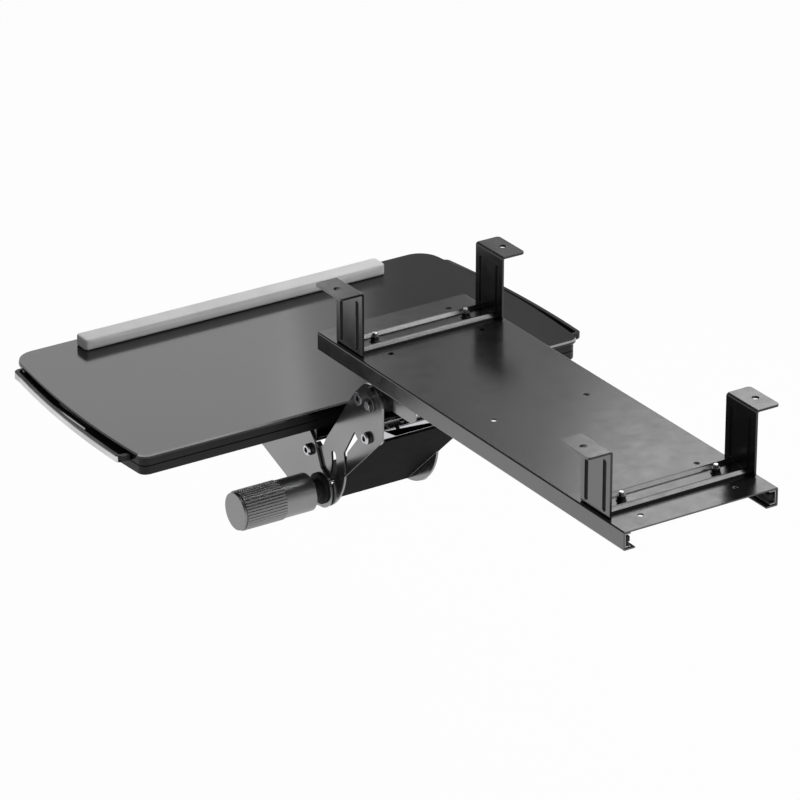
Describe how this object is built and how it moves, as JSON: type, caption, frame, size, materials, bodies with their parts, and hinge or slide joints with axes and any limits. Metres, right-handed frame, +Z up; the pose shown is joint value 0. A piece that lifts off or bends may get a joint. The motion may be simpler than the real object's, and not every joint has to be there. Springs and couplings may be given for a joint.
{
  "type": "keyboard tray",
  "caption": "Under-desk keyboard tray on a sliding track: hangers, ball slides, sprung lift arm, tilt bracket with a clamp knob, board with side gutters and a padded wrist rest.",
  "frame": {"origin": "centre of the four desk-screw holes, in the plane of the tabs' top faces, which lie against the desk's underside", "axes": "+X to the user's right (knob side), +Y from the user to the back of the desk, +Z up"},
  "size_m": [0.674, 1.031, 0.3509],
  "materials": {
    "black_steel": "satin black powder coat",
    "grey_steel": "satin grey",
    "zinc_steel": "zinc plated",
    "black_hardware": "black oxide",
    "rubber": "matt",
    "pale_plastic": "moulded",
    "black_plastic": "fine moulded",
    "board": "semi-gloss",
    "rail": "satin",
    "pad": "soft matt",
    "brass": "turned"
  },
  "bodies": {
    "track": {"track_plate": "black_steel", "front_hanger": "black_steel", "rear_hanger": "black_steel", "hanger_bolts": "zinc_steel", "hanger_nuts": "black_hardware", "slide_outer_right": "zinc_steel", "slide_outer_left": "zinc_steel", "slide_rivets": "zinc_steel", "front_bumpers": "rubber", "rear_bumpers": "rubber"},
    "carriage": {"slide_inner_right": "zinc_steel", "slide_inner_left": "zinc_steel", "carriage_plate": "grey_steel", "carriage_rivets": "zinc_steel", "pivot_bracket": "grey_steel", "bracket_bolts": "zinc_steel", "pivot_shaft": "zinc_steel", "pivot_clips": "black_hardware"},
    "ball_cages": {"ball_cage_right": "pale_plastic", "ball_cage_left": "pale_plastic", "slide_balls": "zinc_steel"},
    "arm": {"lift_arm": "black_steel", "pivot_bushings": "pale_plastic", "stop_tube": "black_hardware", "stop_bolts": "black_hardware", "spring_tube": "black_hardware", "arm_bolts": "zinc_steel", "lift_spring_right": "black_hardware", "lift_spring_left": "black_hardware", "spring_plate": "zinc_steel"},
    "tray": {"tilt_bracket": "grey_steel", "mount_frame": "black_steel", "tilt_bolts": "zinc_steel", "tilt_nuts": "black_hardware", "tilt_washers": "pale_plastic", "clamp_rod": "zinc_steel", "clamp_nut": "black_hardware", "clamp_washer": "black_hardware", "mount_screws": "zinc_steel", "tray_screws": "zinc_steel", "tray_base": "black_plastic", "tray_frame": "black_plastic", "tray_board": "board", "side_rail_right": "rail", "side_rail_left": "rail", "wrist_pad": "pad"},
    "knob": {"knob_grip": "black_plastic", "knob_cap": "black_plastic", "knob_insert": "brass"}
  },
  "joints": [
    {"name": "carriage_slide", "type": "slide", "parent": "track", "child": "carriage", "axis": [0, 1, 0], "range_m": [0, 0.35]},
    {"name": "cage_slide", "type": "slide", "parent": "track", "child": "ball_cages", "axis": [0, 1, 0], "range_m": [0, 0.175]},
    {"name": "lift", "type": "hinge", "parent": "carriage", "child": "arm", "pos_m": [0, -0.259, -0.1645], "axis": [-1, 0, 0], "range_deg": [-20, 8]},
    {"name": "tray_tilt", "type": "hinge", "parent": "arm", "child": "tray", "pos_m": [0, -0.38999, -0.27442], "axis": [1, 0, 0], "range_deg": [-4, 50]},
    {"name": "knob_turn", "type": "hinge", "parent": "tray", "child": "knob", "pos_m": [0, -0.36699, -0.31768], "axis": [1, 0, 0], "range_deg": [0, 360]}
  ],
  "couplings": [
    {"joint": "cage_slide", "follows": "carriage_slide", "ratio": 0.5}
  ]
}
